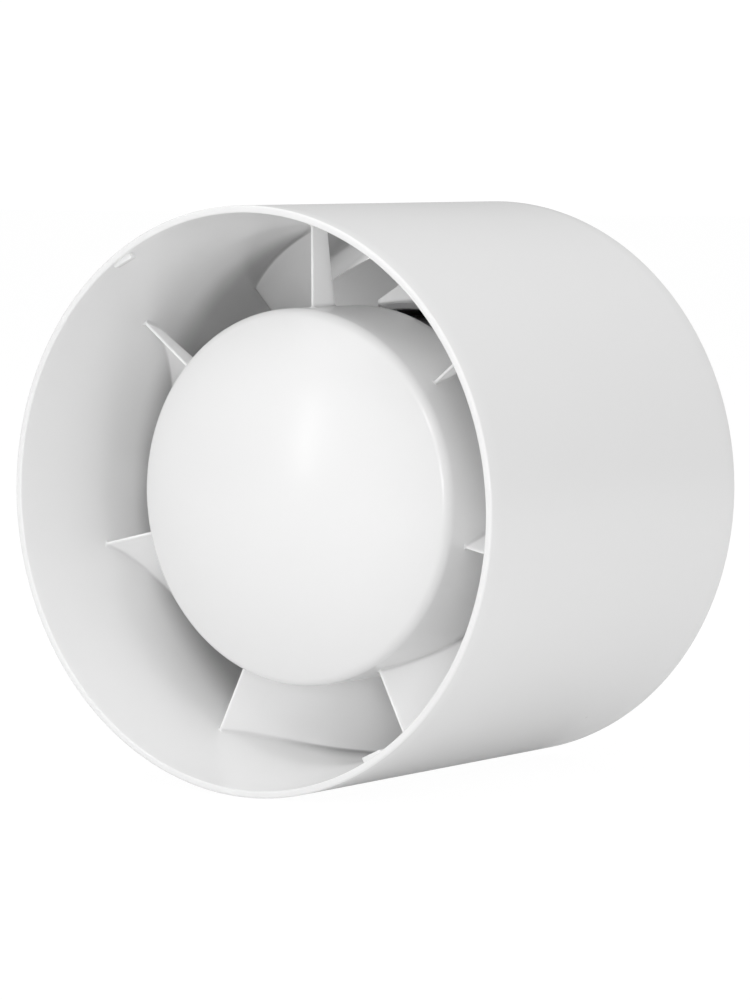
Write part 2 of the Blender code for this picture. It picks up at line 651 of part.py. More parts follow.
def bearing(name, start, end):
    """A short bush with a rounded outer side."""
    mid, half = (start + end) / 2, (end - start) / 2
    turns = [pi / 2 * share for share in (-1, -0.4, 0.4, 1)]
    outer = [(4.6 + 1.4 * cos(turn), mid + half * sin(turn)) for turn in turns]
    turned(name, outer + [(3.06, end), (3.06, start)], 20, BRONZE)


def build_impeller_fixing():
    bore_radius = SHAFT_RADIUS + SHAFT_CLEARANCE
    ring("impeller_insert", 64.8, 71.3, bore_radius, 5.0, BRASS, steps=20)
    clip = [(bore_radius, 71.9), (7.4, 71.9), (7.4, 72.4), (4.4, 72.5), (bore_radius, 73.0)]
    turned("impeller_clip", clip, 16, STEEL)


def build_fasteners():
    """Slotted screws through the motor, and a rubber washer at each boss."""
    profile = [
        (0.0, SCREW_FROM), (SCREW_RADIUS - 0.5, SCREW_FROM), (SCREW_RADIUS, SCREW_FROM + 0.5),
        (SCREW_RADIUS, SCREW_HEAD_FROM), (2.8, SCREW_HEAD_FROM), (2.8, SCREW_HEAD_FROM + 1.1),
        (2.2, SCREW_HEAD_FROM + 1.8), (0.0, SCREW_HEAD_FROM + 1.8),
    ]
    screw = turned("screw_blank", profile, 12, target=CUTTERS)
    slot_place = Matrix.Translation((0.0, axis_y(SCREW_HEAD_FROM + 2.0), 0.0))
    combine(screw, [block("screw_slot", (0.8, 1.6, 7.0), slot_place)], "DIFFERENCE")
    corners = [
        Matrix.Translation(on_fan(SCREW_PHASE + 90.0 * k, SCREW_PITCH_RADIUS, TUBE_LENGTH / 2))
        for k in range(SCREWS)
    ]
    copies("motor_screw", frozen(screw), corners, STEEL)
    washer = frozen(ring("pad_blank", 15.9, 17.7, 1.85, 3.2, target=CUTTERS))
    copies("rubber_washer", washer, corners, RUBBER)


# -------------------------------------------------------------- the cabling
FUSE_RADIUS, FUSE_STATION = 21.3, 33.2
LEAD_RADIUS, LEAD_STATION = 23.4, 29.6  # where the leads run round the motor
LEAD_START, LEAD_STEP, LEAD_STEPS = 16.0, 9.0, 6  # angles from the cable

# (radius, distance from the fan's axis)
GROMMET = [(3.0, 49.3), (3.0, 45.6), (3.4, 45.6), (3.4, 44.9), (2.5, 44.9), (2.5, 49.3)]
GLAND = [(2.75, 30.1), (2.75, 27.3), (3.2, 27.3), (3.2, 26.2), (2.5, 26.2), (2.5, 30.1)]


def lead(name, side, tail, paint):
    """A lead from the cable's end, round the motor to one side of the cable
    (+1 or -1 in angle), then along its tail."""
    path = [(2.5, 25.2, CABLE_STATION), (3.5, 25.2, 33.5), (8.0, 24.2, 30.8)]
    path += [
        (LEAD_START + LEAD_STEP * i, LEAD_RADIUS, LEAD_STATION) for i in range(LEAD_STEPS + 1)
    ]
    turned_path = [(CABLE_ANGLE + side * angle, *rest) for angle, *rest in path]
    wire(name, turned_path + tail, 0.6, paint)


def build_cable():
    ends = [(CABLE_ANGLE, distance, CABLE_STATION) for distance in (49.2, 26.1)]
    wire("supply_cable", ends, 2.2, SHEATH, resolution=4)
    turned_radially("cable_grommet", GROMMET, 16, GREY_RUBBER)
    turned_radially("cable_gland", GLAND, 16, BLACK)


def build_leads():
    fuse_frame = frame_at(180.0, FUSE_RADIUS, FUSE_STATION)
    block("thermal_fuse", (9.0, 3.2, 4.0), fuse_frame, PARTS, NYLON)
    brown_tail = [(-164.5, 22.0, 31.2), (-165.0, FUSE_RADIUS, FUSE_STATION)]
    lead("lead_wire_brown", -1, brown_tail, BROWN)
    lead("lead_wire_blue", 1, [(-12.0, 21.5, 31.5), (-8.0, 21.3, 34.9)], BLUE)

    # each splice sits at the middle of the second straight piece of its lead
    sleeve = flat("splice_sleeve", [circle(1.6, 12), circle(1.0, 12)], 5.0)
    tangential = Matrix.Rotation(pi / 2, 4, "Y")
    offset = LEAD_START + 1.5 * LEAD_STEP
    radius = LEAD_RADIUS * cos(radians(LEAD_STEP / 2))
    where = [
        frame_at(CABLE_ANGLE + side * offset, radius, LEAD_STATION) @ tangential
        for side in (-1, 1)
    ]
    copies("crimp_splice", sleeve, where, NYLON)


build_housing()
build_impeller()
build_front_shield()
build_rear_shield()
build_stator()
build_windings()
build_rotor()
build_shaft()
bearing("front_bearing", 27.7, 34.1)
bearing("rear_bearing", 56.9, 62.1)
for shaft_ring in SHAFT_RINGS:
    ring(*shaft_ring)
build_impeller_fixing()
build_fasteners()
build_cable()
build_leads()
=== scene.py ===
"""Looks of an in-line duct extractor fan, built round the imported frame.

Metres, +Z up. The fan's axis lies along Y, with the outlet and its domed hub at
-Y and the inlet at +Y. Design sizes are in millimetres. A station is the distance
along +Y from the outlet end, and angles run about the axis from +Z towards +X,
in degrees. Materials, lights and camera are in metres.
"""

import math
from contextlib import contextmanager

import bmesh
import bpy
from mathutils import Matrix, Vector


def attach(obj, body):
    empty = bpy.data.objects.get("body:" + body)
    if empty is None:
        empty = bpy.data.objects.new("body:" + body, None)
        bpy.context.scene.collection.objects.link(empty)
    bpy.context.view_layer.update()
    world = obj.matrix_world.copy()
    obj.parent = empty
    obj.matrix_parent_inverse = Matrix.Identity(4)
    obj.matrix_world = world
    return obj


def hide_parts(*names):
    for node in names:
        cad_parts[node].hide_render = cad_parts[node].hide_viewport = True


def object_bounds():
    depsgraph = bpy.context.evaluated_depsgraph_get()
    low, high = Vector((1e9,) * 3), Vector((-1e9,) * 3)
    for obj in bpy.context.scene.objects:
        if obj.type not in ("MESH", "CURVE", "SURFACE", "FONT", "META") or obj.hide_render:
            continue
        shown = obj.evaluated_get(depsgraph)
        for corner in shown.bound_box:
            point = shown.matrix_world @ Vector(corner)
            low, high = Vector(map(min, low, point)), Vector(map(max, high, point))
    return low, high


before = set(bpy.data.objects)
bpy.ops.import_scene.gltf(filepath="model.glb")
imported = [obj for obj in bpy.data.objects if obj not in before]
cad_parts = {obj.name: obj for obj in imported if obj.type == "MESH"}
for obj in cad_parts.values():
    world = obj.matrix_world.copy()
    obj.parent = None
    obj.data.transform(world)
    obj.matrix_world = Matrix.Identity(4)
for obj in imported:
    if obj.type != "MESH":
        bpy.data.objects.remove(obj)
cad_lo, cad_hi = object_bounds()

MM = 0.001

# duct tube: it narrows from both lips to a straight throat
TUBE_LENGTH, TUBE_R, LIP_R, THROAT_R = 76.0, 49.5, 48.26, 46.03
THROAT_START, THROAT_END = 20.0, 57.0
LIP_EASE, RIM_EASE = 0.3, 0.4  # rounding of the inner and outer rims

# domed cup in the middle of the outlet
DOME_APEX, DOME_EDGE_R, DOME_EDGE = 5.7, 30.7, 13.1
CUP_R, CUP_WALL, CUP_END = 32.03, 1.6, 33.7
CUP_EASE = 0.3

# fixed vanes between the cup and the throat
VANES, VANE_PHASE, VANE_START, VANE_MID_R = 7, -0.3, 19.06, 39.1
VANE_ARC_R, VANE_ARC_DEPTH, VANE_FLAT_DEPTH = 29.0, 18.65, 6.35
VANE_SLOPE_START, VANE_SLOPE_END = 15.0, 64.4  # from the axis, at mid span
VANE_EDGE_THICK, VANE_THICKENING, VANE_THICKENING_RUN = 0.42, 1.0, 9.0
VANE_FILLET = 0.5

# bosses with blind holes behind the dome, and the hole through the tube wall
BOSSES, BOSS_CIRCLE_R = 4, 26.0
BOSS_R, BOSS_START, BOSS_LENGTH = 2.8, 12.7, 2.9
PILOT_R, PILOT_START, PILOT_LENGTH = 1.75, 13.2, 4.0
HOLE_R, HOLE_STATION, HOLE_FROM_R, HOLE_LENGTH = 3.3, 36.6, 42.0, 12.0

# wedges inside the outlet lip
NIB_ANGLES, NIB_HALF_ANGLE, NIB_HEIGHTS = (-33.5, 148.0), 2.4, (0.35, 0.85)
NIB_START, NIB_END, NIB_SEAT, NIB_SUNK, NIB_EASE = 0.75, 2.15, 2.2, 0.6, 0.12

# impeller hub, with its end wall towards the inlet
HUB_R, HUB_INNER_R, HUB_START, HUB_END = 32.1, 30.9, 47.5, 70.5
HUB_FILLET, HUB_INNER_FILLET = 3.0, 1.8
HUB_WALL_FACE = 68.9  # inside face of the end wall
RIB_MID_R, RIB_STATION = 19.2, 67.3
RIB_HALF_SIZE = (0.6, 2.1, 12.0)  # tangential, axial, radial

# impeller blades
BLADES, BLADE_TIP_R, BLADE_MID_R = 6, 45.0, 38.5
BLADE_START, BLADE_END = 46.4, 70.2
BLADE_SLOPE_START, BLADE_SLOPE_END = 45.0, 64.0  # from the axis, at mid span
BLADE_PHASE, BLADE_SWEEP = -12.5, 5.6
BLADE_SUNK, BLADE_FILLET = 0.6, 0.9
BLADE_HALF_THICK, BLADE_THINNING = 0.7, 0.72
NOSE_SHARE, TAIL_SHARE = 0.06, 0.012  # rounded ends, as shares of the chord


def rad(angle):
    return math.radians(angle)


def at_station(station):
    return (station - TUBE_LENGTH / 2) * MM


def on_fan(angle, radius, station):
    turn = rad(angle)
    return Vector((radius * math.sin(turn) * MM, at_station(station), radius * math.cos(turn) * MM))


def axes_matrix(x_axis, y_axis, z_axis, place):
    matrix = Matrix((x_axis, y_axis, z_axis)).transposed().to_4x4()
    matrix.translation = place
    return matrix


def radial_frame(angle, radius, station):
    """Local X tangential, Y along the axis, Z radial."""
    turn = rad(angle)
    side = (math.cos(turn), 0.0, -math.sin(turn))
    out = (math.sin(turn), 0.0, math.cos(turn))
    return axes_matrix(side, (0.0, 1.0, 0.0), out, on_fan(angle, radius, station))


def axial_frame(angle, radius, station):
    """Local Z along +Y, towards the inlet."""
    return Matrix.Translation(on_fan(angle, radius, station)) @ Matrix.Rotation(-math.pi / 2, 4, "X")


def smooth(x):
    x = min(1.0, max(0.0, x))
    return x * x * (3 - 2 * x)


# -------------------------------------------------------------- shader nodes
def fill(tree, node, inputs):
    """Link the inputs that are given as sockets and set the others."""
    for key, value in inputs.items():
        if isinstance(value, bpy.types.NodeSocket):
            tree.links.new(value, node.inputs[key])
        else:
            node.inputs[key].default_value = value


def add_node(tree, kind, inputs=None, **settings):
    made = tree.nodes.new(kind)
    for key, value in settings.items():
        setattr(made, key, value)
    fill(tree, made, inputs or {})
    return made


def rgba(value):
    """A colour or a grey level with full alpha; sockets pass through."""
    if isinstance(value, tuple):
        return (*value, 1.0)
    if isinstance(value, (float, int)):
        return (value, value, value, 1.0)
    return value


def scaled(colour, factor):
    return tuple(c * factor for c in colour)


def new_material(name):
    material = bpy.data.materials.new(name)
    material.use_nodes = True
    return material


class Shader:
    """A small builder of node materials round one Principled BSDF."""

    def __init__(self, name):
        self.material = new_material(name)
        self.tree = self.material.node_tree
        self.bsdf = self.tree.nodes["Principled BSDF"]
        self.place = self.node("ShaderNodeTexCoord").outputs["Object"]
        self.normal = None

    def node(self, kind, inputs=None, **settings):
        return add_node(self.tree, kind, inputs, **settings)

    def set(self, inputs):
        fill(self.tree, self.bsdf, inputs)

    def noise(self, scale, detail=3.0, rough=0.55, stretch=(1, 1, 1)):
        mapping = self.node("ShaderNodeMapping", {"Scale": stretch, "Vector": self.place})
        made = self.node("ShaderNodeTexNoise", {
            "Scale": scale, "Detail": detail, "Roughness": rough, "Vector": mapping.outputs["Vector"],
        })
        return made.outputs["Fac"]

    def wave(self, direction, profile, inputs):
        made = self.node(
            "ShaderNodeTexWave", {**inputs, "Vector": self.place},
            wave_type="BANDS", bands_direction=direction, wave_profile=profile,
        )
        return made.outputs["Fac"]

    def ramp(self, fac, start, end):
        """Grey ramp between two (position, level) stops."""
        made = self.node("ShaderNodeValToRGB", {"Fac": fac})
        for element, (position, level) in zip(made.color_ramp.elements, (start, end)):
            element.position = position
            element.color = rgba(level)
        return made.outputs["Color"]

    def mix(self, fac, first, second, blend="MIX"):
        made = self.node(
            "ShaderNodeMix", {0: fac, 6: rgba(first), 7: rgba(second)}, data_type="RGBA", blend_type=blend
        )
        return made.outputs[2]

    def bump(self, height, strength, distance):
        """Each bump is laid over the ones before it."""
        made = self.node("ShaderNodeBump", {"Strength": strength, "Distance": distance, "Height": height})
        if self.normal:
            fill(self.tree, made, {"Normal": self.normal})
        self.normal = made.outputs["Normal"]
        self.set({"Normal": self.normal})

    def edges(self):
        """0 on open faces, rising towards convex and concave edges."""
        bevel = self.node("ShaderNodeBevel", {"Radius": 0.0006}, samples=4)
        geometry = self.node("ShaderNodeNewGeometry")
        dot = self.node(
            "ShaderNodeVectorMath", {0: bevel.outputs["Normal"], 1: geometry.outputs["Normal"]},
            operation="DOT_PRODUCT",
        )
        return self.ramp(dot.outputs["Value"], start=(0.75, 1.0), end=(0.995, 0.0))

    def specks(self):
        """1 in the middle of a few scattered cells, 0 elsewhere."""
        cells = self.node("ShaderNodeTexVoronoi", {"Scale": 170.0, "Vector": self.place}, feature="F1")
        spot = self.ramp(cells.outputs["Distance"], start=(0.035, 1.0), end=(0.06, 0.0))
        split = self.node("ShaderNodeSeparateColor", {0: cells.outputs["Color"]})
        chosen = self.ramp(split.outputs[0], start=(0.975, 0.0), end=(0.985, 1.0))
        return self.mix(1.0, spot, chosen, blend="MULTIPLY")


# ----------------------------------------------------------------- materials
def moulded(name, colour, roughness, specks=0.0, grain=0.25, wear=0.04):
    """Injection-moulded plastic: soft flow marks, very fine grain, a few
    specks of dust and slightly rubbed edges."""
    sh = Shader(name)
    flow = sh.noise(scale=20.0, detail=0.0, rough=0.5, stretch=(1, 0.35, 1))
    surface = sh.mix(flow, scaled(colour, 0.99), colour)
    if specks:
        amount = sh.mix(specks, 0.0, sh.specks())
        surface = sh.mix(amount, surface, scaled(colour, 0.72))
    if wear:
        rubbed = sh.edges()
        lighter = tuple(min(1.0, c + wear) for c in colour)
        amount = sh.mix(sh.noise(scale=420.0, detail=2.0), 0.0, rubbed)
        surface = sh.mix(amount, surface, lighter)
    patches = sh.noise(scale=34.0, detail=0.0)
    sh.set({
        "Base Color": surface,
        "Roughness": sh.ramp(patches, start=(0.0, roughness - 0.02), end=(1.0, roughness + 0.02)),
        "IOR": 1.5,
    })
    sh.bump(sh.noise(scale=900.0, detail=2.0), strength=grain, distance=0.00003)
    sh.bump(sh.noise(scale=26.0, detail=0.0), strength=0.05, distance=0.0004)
    return sh.material


# radii that get the painted glow
GLOW_RING = dict(start=0.0321, end=0.04602, ease=0.0007)  # radii between hub and throat
SHADE_END_R, SHADE_EASE = 0.0490, 0.0004


def paint_glow_and_depth_shade(material, glow, glow_band, shade, shade_band, shade_start_r):
    """Painted light and shade in the colour. A painted glow, an even, weak emission in the ring round the
    hub, stands in for light let through the thin vanes and blades; painted shade darkens the colour deep
    in the tube, where the air passes the impeller. Bands run along Y and ease in and out."""
    tree = material.node_tree
    bsdf = tree.nodes["Principled BSDF"]
    coords = add_node(tree, "ShaderNodeTexCoord")
    split = add_node(tree, "ShaderNodeSeparateXYZ", {0: coords.outputs["Object"]})
    x, y, z = (split.outputs[axis] for axis in "XYZ")

    def calc(operation, *values):
        made = add_node(tree, "ShaderNodeMath", dict(enumerate(values)), operation=operation)
        return made.outputs[0]

    def band(value, start, end, ease, ease_end=None):
        rise = add_node(
            tree, "ShaderNodeMapRange",
            {"From Min": start, "From Max": start + ease, "Value": value},
            interpolation_type="SMOOTHSTEP",
        )
        fall = add_node(
            tree, "ShaderNodeMapRange",
            {"From Min": end - (ease_end or ease), "From Max": end, "To Min": 1.0, "To Max": 0.0,
             "Value": value},
            interpolation_type="SMOOTHSTEP",
        )
        return calc("MULTIPLY", rise.outputs[0], fall.outputs[0])

    x_squared = calc("MULTIPLY", x, x)
    z_squared = calc("MULTIPLY", z, z)
    radius = calc("SQRT", calc("ADD", x_squared, z_squared))

    # painted glow: an even emission on the vanes and blades stands in for light let through them
    lit = calc("MULTIPLY", band(radius, **GLOW_RING), band(y, **glow_band))
    fill(tree, bsdf, {"Emission Color": rgba(1.0), "Emission Strength": calc("MULTIPLY", lit, glow)})

    # painted shade: the colour is darkened towards black on the tube wall and impeller, deep inside
    inside = band(radius, start=shade_start_r, end=SHADE_END_R, ease=SHADE_EASE)
    darkening = calc("MULTIPLY", calc("MULTIPLY", inside, band(y, **shade_band)), shade)
    unshaded = bsdf.inputs["Base Color"].links[0].from_socket
    mix = add_node(tree, "ShaderNodeMix", {0: darkening, 6: unshaded, 7: rgba(0.0)}, data_type="RGBA")
    fill(tree, bsdf, {"Base Color": mix.outputs[2]})


def metal(name, colour, roughness, stretch=(1, 1, 1), scale=900.0, strength=0.3, darkening=0.8):
    """Bare metal with fine tool marks along one direction and dull patches."""
    sh = Shader(name)
    marks = sh.noise(scale=scale, detail=4.0, rough=0.6, stretch=stretch)
    tarnish = sh.ramp(sh.noise(scale=190.0, detail=4.0), start=(0.4, 0.0), end=(0.72, 1.0))
    sh.set({
        "Base Color": sh.mix(tarnish, colour, scaled(colour, darkening)),
        "Roughness": sh.ramp(marks, start=(0.3, roughness - 0.08), end=(0.7, roughness + 0.12)),
        "Metallic": 1.0,
    })
    sh.bump(marks, strength=strength, distance=0.00003)
    return sh.material


def laminated(name):
    """Lacquered sheet-steel stack: thin dark layers along the axis."""
    sh = Shader(name)
    bands = sh.wave("Y", "SAW", {"Scale": 320.0, "Distortion": 0.0})
    layer = sh.ramp(bands, start=(0.08, 0.0), end=(0.22, 1.0))
    patches = sh.noise(scale=150.0, detail=3.0)
    lacquer = sh.mix(patches, (0.014, 0.014, 0.016), (0.03, 0.029, 0.03))
    surface = sh.mix(layer, (0.004, 0.004, 0.004), lacquer)
    marks = sh.noise(scale=700.0, detail=3.0)
    sh.set({
        "Base Color": surface,
        "Roughness": sh.ramp(marks, start=(0.3, 0.36), end=(0.7, 0.55)),
        "Metallic": 0.35,
    })
    sh.bump(layer, strength=0.8, distance=0.00008)
    return sh.material


def wound(name, colour, direction):
    """Enamelled wire laid in turns, with painted shade in the grooves between them."""
    sh = Shader(name)
    bands = sh.wave(direction, "SIN", {"Scale": 1250.0, "Distortion": 0.6, "Detail": 1.0})
    turns = sh.ramp(bands, start=(0.05, 0.0), end=(0.6, 1.0))
    sh.set({
        # painted shade: the colour is darker in the grooves between turns
        "Base Color": sh.mix(turns, scaled(colour, 0.35), colour),
        "Roughness": 0.3,
        "Metallic": 0.55,
        "Coat Weight": 0.6,
    })
    sh.bump(turns, strength=1.0, distance=0.0001)
    return sh.material


def fibrous(name, colour):
    """Matted fibres with a soft sheen."""
    sh = Shader(name)
    fibres = sh.noise(scale=2200.0, detail=6.0, rough=0.8, stretch=(1, 3, 1))
    sh.set({
        "Base Color": sh.mix(fibres, scaled(colour, 0.6), colour),
        "Roughness": 0.95,
        "Sheen Weight": 0.4,
    })
    sh.bump(fibres, strength=1.0, distance=0.0002)
    return sh.material


WHITE = moulded("white_abs", (0.79, 0.79, 0.79), roughness=0.235, specks=0.8, grain=0.03)
# painted glow on the fixed vanes, painted shade on the throat wall from past the vanes to the inlet
paint_glow_and_depth_shade(
    WHITE,
    glow=0.17, glow_band=dict(start=-0.0215, end=0.004, ease=0.002, ease_end=0.016),
    shade=0.55, shade_band=dict(start=-0.0105, end=0.0375, ease=0.0105, ease_end=0.0045),
    shade_start_r=0.04555,
)
IMPELLER = moulded("impeller_white", (0.78, 0.78, 0.78), roughness=0.33, specks=0.3, grain=0.05)
# painted glow on the impeller blades, and a faint painted shade on the hub and blades
paint_glow_and_depth_shade(
    IMPELLER,
    glow=0.36, glow_band=dict(start=0.0, end=0.038, ease=0.002, ease_end=0.029),
    shade=0.05, shade_band=dict(start=0.012, end=0.032, ease=0.012, ease_end=0.008),
    shade_start_r=0.0318,
)
BLACK = moulded("black_plastic", (0.004, 0.004, 0.0042), roughness=0.5, grain=0.6, wear=0.004)
NYLON = moulded("natural_nylon", (0.72, 0.69, 0.6), roughness=0.42, grain=0.2, wear=0.03)
RUBBER = moulded("black_rubber", (0.016, 0.016, 0.016), roughness=0.72, grain=0.8, wear=0.01)
GREY_RUBBER = moulded("grey_rubber", (0.5, 0.5, 0.5), roughness=0.68, grain=0.7, wear=0.02)
SHEATH = moulded("white_sheath", (0.78, 0.78, 0.77), roughness=0.48, grain=0.5, wear=0.0)
BROWN = moulded("brown_wire", (0.16, 0.055, 0.025), roughness=0.42, grain=0.3, wear=0.0)
BLUE = moulded("blue_wire", (0.025, 0.09, 0.42), roughness=0.42, grain=0.3, wear=0.0)
STEEL = metal("bright_steel", (0.62, 0.62, 0.63), roughness=0.26, stretch=(1, 8, 1))
ALUMINIUM = metal("cast_aluminium", (0.72, 0.72, 0.74), roughness=0.42, scale=380.0, strength=0.6)
BRASS = metal("brass", (0.72, 0.5, 0.2), roughness=0.3, stretch=(1, 8, 1))
BRONZE = metal(
    "sintered_bronze", (0.45, 0.3, 0.16), roughness=0.55, scale=1500.0, strength=0.9, darkening=0.6
)
COPPER = metal("copper", (0.78, 0.36, 0.2), roughness=0.3, scale=500.0, darkening=0.65)
STACK = laminated("lacquered_steel")
FELT = fibrous("felt", (0.62, 0.57, 0.48))
ENAMEL = (0.42, 0.14, 0.05)
WIRE_X = wound("enamelled_wire_x", ENAMEL, "X")
WIRE_Z = wound("enamelled_wire_z", ENAMEL, "Z")


# ------------------------------------------------------------- mesh helpers
# a box whose corners are listed by three nested low-high loops
BOX_FACES = [(0, 1, 3, 2), (4, 6, 7, 5), (0, 4, 5, 1), (2, 3, 7, 6), (0, 2, 6, 4), (1, 5, 7, 3)]


def add_object(name, verts, faces):
    mesh = bpy.data.meshes.new(name)
    mesh.from_pydata([tuple(v) for v in verts], [], faces)
    mesh.validate()
    obj = bpy.data.objects.new(name, mesh)
    bpy.context.scene.collection.objects.link(obj)
    return obj


@contextmanager
def editing(obj):
    bm = bmesh.new()
    bm.from_mesh(obj.data)
    yield bm
    bm.to_mesh(obj.data)
    bm.free()


def weld(bm, distance):
    bmesh.ops.remove_doubles(bm, verts=bm.verts, dist=distance)
    bmesh.ops.dissolve_degenerate(bm, edges=bm.edges, dist=1e-6)


def fit(obj, material, sharp_angle, body, node):
    """Finish a mesh and put it in the place of a node of the frame."""
    obj.data.materials.clear()
    obj.data.materials.append(material)
    obj.data.shade_smooth()
    obj.data.set_sharp_from_angle(angle=rad(sharp_angle))
    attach(obj, body)
    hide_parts(node)


def revolved(name, profile, steps, closed=True, matrix=None):
    """Turn (radius, station) points about the fan's axis. They run along the
    outer side with the station growing, then back inside. With a matrix the
    stations are instead distances along its local Z."""
    verts, rings = [], []
    for radius, station in profile:
        ring = []
        for i in range(1 if radius < 1e-6 else steps):
            turn = 2 * math.pi * i / steps
            x, z = radius * math.sin(turn) * MM, radius * math.cos(turn) * MM
            ring.append(len(verts))
            if matrix is None:
                verts.append(Vector((x, at_station(station), z)))
            else:
                verts.append(matrix @ Vector((x, z, station * MM)))
        rings.append(ring)
    pairs = list(zip(rings, rings[1:]))
    if closed:
        pairs.append((rings[-1], rings[0]))
    faces = []
    for this, following in pairs:
        for i in range(steps):
            j = (i + 1) % steps
            if len(this) == 1 and len(following) == 1:
                continue
            if len(this) == 1:
                faces.append((this[0], following[j], following[i]))
            elif len(following) == 1:
                faces.append((this[i], this[j], following[0]))
            else:
                faces.append((this[i], this[j], following[j], following[i]))
    return add_object(name, verts, faces)


def rounded(points, radius, steps=3, closed=True):
    """Ease every corner of a polygon by a small radius, but leave points on
    the axis and nearly straight corners as they are."""
    out = []
    count = len(points)
    for i, point in enumerate(points):
        if not closed and i in (0, count - 1):
            out.append(point)
            continue
        corner = Vector(point)
        back = Vector(points[i - 1]) - corner
        ahead = Vector(points[(i + 1) % count]) - corner
        if back.length < 1e-9 or ahead.length < 1e-9 or point[0] < 1e-6:
            out.append(point)
            continue
        angle = back.angle(ahead)
        if math.pi - angle < rad(14.0):
            out.append(point)
            continue
        cut = min(radius / math.tan(angle / 2), 0.45 * back.length, 0.45 * ahead.length)
        start, end = corner + back.normalized() * cut, corner + ahead.normalized() * cut
        for k in range(steps + 1):
            t = k / steps
            eased = start * (1 - t) ** 2 + corner * 2 * t * (1 - t) + end * t**2
            out.append((eased.x, eased.y))
    return out


def quarter_round(centre_r, centre_station, radius, steps):
    """Profile points from the outer side round to the inlet side."""
    turns = [math.pi / 2 * i / steps for i in range(steps + 1)]
    return [
        (centre_r + radius * math.cos(turn), centre_station + radius * math.sin(turn))
        for turn in turns
    ]


def united(obj, adds, cuts=()):
    """Join closed meshes into one and cut others out, then drop the tools."""
    for others, operation in ((adds, "UNION"), (cuts, "DIFFERENCE")):
        for other in others:
            step = obj.modifiers.new(other.name, "BOOLEAN")
            step.operation = operation
            step.solver = "MANIFOLD"
            step.object = other
    bpy.context.view_layer.update()
    evaluated = obj.evaluated_get(bpy.context.evaluated_depsgraph_get())
    mesh = bpy.data.meshes.new_from_object(evaluated)
    mesh.transform(obj.matrix_world)
    obj.modifiers.clear()
    obj.data = mesh
    for other in list(adds) + list(cuts):
        bpy.data.objects.remove(other, do_unlink=True)
    with editing(obj) as bm:
        weld(bm, 2e-6)


def rod(name, radius, length, matrix):
    """A closed cylinder along the matrix's local Z with eased rims."""
    corners = [(0.0, 0.0), (radius, 0.0), (radius, length), (0.0, length)]
    profile = rounded(corners, min(0.15, radius / 5), steps=2, closed=False)
    mirrored = matrix @ Matrix.Diagonal((-1, 1, 1, 1))
    return revolved(name, profile, 48, closed=False, matrix=mirrored)


def paired(name, rows):
    """A closed blade from rows of (outlet side, inlet side) points along the
    chord, one row for each radius."""
    verts, index = [], []
    for row in rows:
        index.append([])
        for pair in row:
            index[-1].append((len(verts), len(verts) + 1))
            verts += pair
    faces = []
    last = len(rows[0]) - 1
    for low, high in zip(index, index[1:]):
        for i in range(last):
            faces.append((low[i][0], low[i + 1][0], high[i + 1][0], high[i][0]))
            faces.append((low[i][1], high[i][1], high[i + 1][1], low[i + 1][1]))
        faces.append((low[0][0], high[0][0], high[0][1], low[0][1]))
        faces.append((low[last][0], low[last][1], high[last][1], high[last][0]))
    for row, flip in ((index[0], True), (index[-1], False)):
        for i in range(last):
            quad = (row[i][0], row[i + 1][0], row[i + 1][1], row[i][1])
            faces.append(quad[::-1] if flip else quad)
    obj = add_object(name, verts, faces)
    with editing(obj) as bm:
        bmesh.ops.recalc_face_normals(bm, faces=bm.faces)
    return obj


def fillet_flare(gap, radius):
    """How far a fillet of this radius stands off at a distance from the wall."""
    if gap >= radius:
        return 0.0
    gap = max(gap, 0.0)
    return radius - math.sqrt(max(0.0, radius**2 - (radius - gap) ** 2))


# --------------------------------------------------------------- the housing
def tube_inner(station):
    """Inner radius of the tube."""
    if station < THROAT_START:
        share = 1.0 - station / THROAT_START
    elif station > THROAT_END:
        share = (station - THROAT_END) / (TUBE_LENGTH - THROAT_END)
    else:
        return THROAT_R
    return THROAT_R + (LIP_R - THROAT_R) * (smooth(share) * 0.5 + share * 0.5)


def tube_profile():
    turns = [math.pi / 2 * k / 5 for k in range(6)]
    outlet_end = [
        (LIP_R + LIP_EASE - LIP_EASE * math.cos(turn), LIP_EASE - LIP_EASE * math.sin(turn))
        for turn in turns
    ]
    outlet_end += [
        (TUBE_R - RIM_EASE + RIM_EASE * math.sin(turn), RIM_EASE - RIM_EASE * math.cos(turn))
        for turn in turns
    ]
    inlet_end = [(radius, TUBE_LENGTH - station) for radius, station in reversed(outlet_end)]
    outer = [(TUBE_R, RIM_EASE + (TUBE_LENGTH - 2 * RIM_EASE) * i / 24) for i in range(1, 24)]
    inner_stations = [
        TUBE_LENGTH - LIP_EASE - (TUBE_LENGTH - 2 * LIP_EASE) * i / 40 for i in range(1, 40)
    ]
    inner = [(tube_inner(station), station) for station in inner_stations]
    return outlet_end + outer + inlet_end + inner


# the dome is a sphere through its apex and edge; a fillet joins it to the cup's side
DOME_RISE = DOME_EDGE - DOME_APEX
DOME_R = (DOME_EDGE_R**2 + DOME_RISE**2) / (2 * DOME_RISE)
DOME_CENTRE = DOME_APEX + DOME_R
EDGE_ANGLE = math.asin(DOME_EDGE_R / DOME_R)
FILLET_R = (CUP_R - DOME_EDGE_R) / (1.0 - math.sin(EDGE_ANGLE))


def cup_side(inset, dome_steps, fillet_steps):
    """Dome and fillet points, from the apex out, set in from the outer skin."""
    points = []
    for i in range(dome_steps + 1):
        turn = EDGE_ANGLE * i / dome_steps
        radius = DOME_R - inset
        points.append((radius * math.sin(turn), DOME_CENTRE - radius * math.cos(turn)))
    centre_r = (DOME_R - FILLET_R) * math.sin(EDGE_ANGLE)
    centre_station = DOME_CENTRE - (DOME_R - FILLET_R) * math.cos(EDGE_ANGLE)
    for i in range(1, fillet_steps + 1):
        turn = EDGE_ANGLE + (math.pi / 2 - EDGE_ANGLE) * i / fillet_steps
        radius = FILLET_R - inset
        points.append((centre_r + radius * math.sin(turn), centre_station - radius * math.cos(turn)))
    return points


